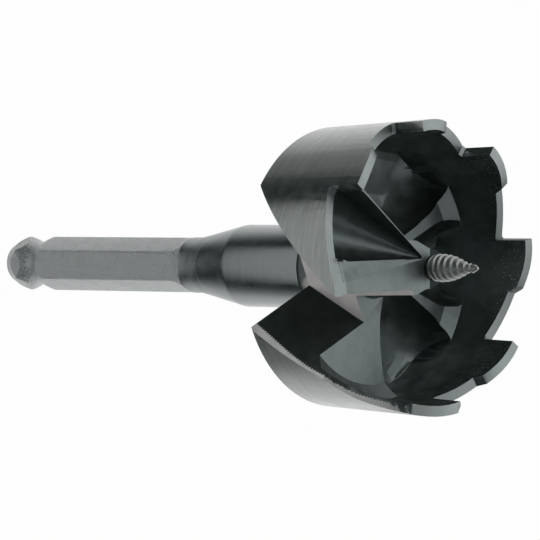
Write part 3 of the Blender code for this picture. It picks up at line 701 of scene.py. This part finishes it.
class BIT_OT_head(bpy.types.Operator):
    """Finish the cutter head in black oxide with worn edges"""
    bl_idname = "bit.head"
    bl_label = "Cutter head"

    def execute(self, context):
        sizes, colours = context.scene.bit_sizes, context.scene.bit_colours
        fine = sizes.edge_round / sizes.slot_round

        def broken(place):
            """Crisp inside the cup, broad on the slot's far edge, and fine elsewhere."""
            radius = math.hypot(place.x, place.y)
            if CUP_RADII[0] < radius < CUP_RADII[1] and place.z < CUP_TOP_Z:
                return 0.0
            beside_slot = (place.x < SLOT_EDGE_X and place.y > SLOT_EDGE_Y
                           and SLOT_EDGE_Z[0] < place.z < SLOT_EDGE_Z[1])
            return 1.0 if radius > HEAD_WALL * MM and beside_slot else fine

        head = refined_copy("cutter_head", sizes.slot_round, 28.0, 14.0, broken)

        # Black oxide on a turned forging: near black inside, satin grey rings outside
        oxide = oxide_steel("black_oxide_turned_steel", colours, colours.head_dark,
                            colours.head_pale, colours.head_ground, wall=HEAD_WALL, rough=0.44,
                            fine=0.2, ring_spacing=0.4, ring_depth=0.012 * MM, pebble=0.5,
                            skin=0.7)
        # The same steel rubbed thin: a pale line along each edge
        edge = worn_edge_steel("black_oxide_worn_edge", colours.worn_edge)
        finish_piece(head, [oxide, edge], "cutter_head")
        return {'FINISHED'}


class BIT_OT_shank(bpy.types.Operator):
    """Finish the hex shank and its collar in black oxide"""
    bl_idname = "bit.shank"
    bl_label = "Shank"

    def execute(self, context):
        sizes, colours = context.scene.bit_sizes, context.scene.bit_colours
        shank = refined_copy("shank", sizes.edge_round, 20.0, 9.0)

        # Black oxide on bar steel: a banded shine on the collar, a grainy grey on the hex.
        # The hex bar's grain is finer than a pixel on the real one, so it is drawn coarser
        oxide = oxide_steel("black_oxide_bar_steel", colours, colours.bar_dark,
                            colours.bar_pale, colours.bar_ground, wall=COLLAR_WALL, rough=0.3,
                            fine=0.2, ring_spacing=0.45, ring_depth=0.03 * MM, pebble=1.2,
                            dress=rolled_hex)
        # Corners rubbed by the chuck: a slightly paler line
        edge = worn_edge_steel("black_oxide_worn_corner", colours.worn_corner)
        finish_piece(shank, [oxide, edge], "shank")
        return {'FINISHED'}


class BIT_OT_feed_screw(bpy.types.Operator):
    """Make the feed screw with its tapered thread"""
    bl_idname = "bit.feed_screw"
    bl_label = "Feed screw"

    def execute(self, context):
        sizes, colours = context.scene.bit_sizes, context.scene.bit_colours
        # Rolled steel left bare: the one bright piece, with a soft grainy shine
        finish = bright_steel("bright_rolled_steel", colours.bright_screw)
        mesh = turned_mesh("feed_screw_threaded", screw_core_profile(sizes.thread_ridge),
                           SCREW_CORE_SIDES)
        screw = bpy.data.objects.new("feed_screw_threaded", mesh)
        bpy.context.scene.collection.objects.link(screw)
        modifier = screw.modifiers.new("Thread", 'NODES')
        modifier.node_group = thread_tree()
        set_inputs(modifier, {
            "Start height": SCREW_BASE_Z + 0.5 * MM, "End height": SCREW_TIP_Z - 0.5 * MM,
            "Pitch": sizes.thread_pitch, "Widest height": SCREW_WIDEST_Z,
            "Widest radius": SCREW_WIDEST_RADIUS, "Nib height": SCREW_NIB_Z,
            "Nib radius": SCREW_NIB_RADIUS, "Ridge": sizes.thread_ridge,
            "Points a turn": sizes.points_a_turn, "Finish": finish})
        bake_modifiers(screw, 50.0)
        screw.data.transform(bit_matrix())
        finish_piece(screw, [finish], "feed_screw")
        return {'FINISHED'}


class BIT_OT_set_screw(bpy.types.Operator):
    """Finish the set screw in the collar"""
    bl_idname = "bit.set_screw"
    bl_label = "Set screw"

    def execute(self, context):
        sizes, colours = context.scene.bit_sizes, context.scene.bit_colours
        grub = refined_copy("set_screw", sizes.set_screw_round, 30.0, 30.0)

        # Black oxide on a small turned screw, which has no outer wall that shows rings
        oxide = oxide_steel("black_oxide_set_screw_steel", colours, colours.set_screw_dark,
                            colours.set_screw_pale, colours.set_screw_pale, wall=NO_WALL,
                            rough=0.4, fine=0.4, ring_spacing=0.3, ring_depth=0.01 * MM,
                            pebble=1.0)
        # Its edges are hardly worn, so they stay as dark as its film
        edge = worn_edge_steel("black_oxide_set_screw_edge", colours.set_screw_dark)
        finish_piece(grub, [oxide, edge], "set_screw")
        return {'FINISHED'}


class BIT_OT_stage(bpy.types.Operator):
    """Set up the pale floor, soft lights, white surround and camera"""
    bl_idname = "bit.stage"
    bl_label = "Stage"

    def execute(self, context):
        scene, stage = context.scene, context.scene.bit_stage
        paper_floor(scene, stage.floor_colour)
        studio_world(scene, stage.room_colour, stage.room_light)
        for name, azimuth, elevation, size, power in (
                ("left_light", -176.0, 38.0, (1.9, 0.83), stage.left_power),
                ("right_light", 38.0, 15.0, (0.9, 0.6), stage.right_power),
                ("top_light", -147.0, 66.0, (0.5, 0.5), stage.top_power),
                ("low_light", -26.0, 14.0, (0.4, 0.4), stage.low_power)):
            soft_light(name, azimuth, elevation, size, power)
        photo_camera(scene)
        scene.view_settings.view_transform = 'Standard'
        return {'FINISHED'}


class BIT_PT_panel(bpy.types.Panel):
    """Buttons for each piece of the bit and its studio"""
    bl_idname = "BIT_PT_panel"
    bl_label = "Self-feed bit"
    bl_space_type = 'VIEW_3D'
    bl_region_type = 'UI'
    bl_category = "Self-feed bit"

    def draw(self, context):
        scene = context.scene
        for group in (scene.bit_sizes, scene.bit_colours, scene.bit_stage):
            for name in group.__annotations__:
                self.layout.prop(group, name)
        for operator in OPERATORS:
            self.layout.operator(operator.bl_idname)


OPERATORS = (BIT_OT_head, BIT_OT_shank, BIT_OT_feed_screw, BIT_OT_set_screw, BIT_OT_stage)
CLASSES = (BitSizes, BitColours, BitStage, *OPERATORS, BIT_PT_panel)


def register():
    """Add the classes, and the settings that the scene holds."""
    for item in CLASSES:
        bpy.utils.register_class(item)
    bpy.types.Scene.bit_sizes = PointerProperty(type=BitSizes)
    bpy.types.Scene.bit_colours = PointerProperty(type=BitColours)
    bpy.types.Scene.bit_stage = PointerProperty(type=BitStage)


def unregister():
    """Take away what register added."""
    del bpy.types.Scene.bit_stage
    del bpy.types.Scene.bit_colours
    del bpy.types.Scene.bit_sizes
    for item in reversed(CLASSES):
        bpy.utils.unregister_class(item)


def main():
    """Build every piece and the stage."""
    register()
    bpy.ops.bit.head()
    bpy.ops.bit.shank()
    bpy.ops.bit.feed_screw()
    bpy.ops.bit.set_screw()
    bpy.ops.bit.stage()


if __name__ == "__main__":
    main()
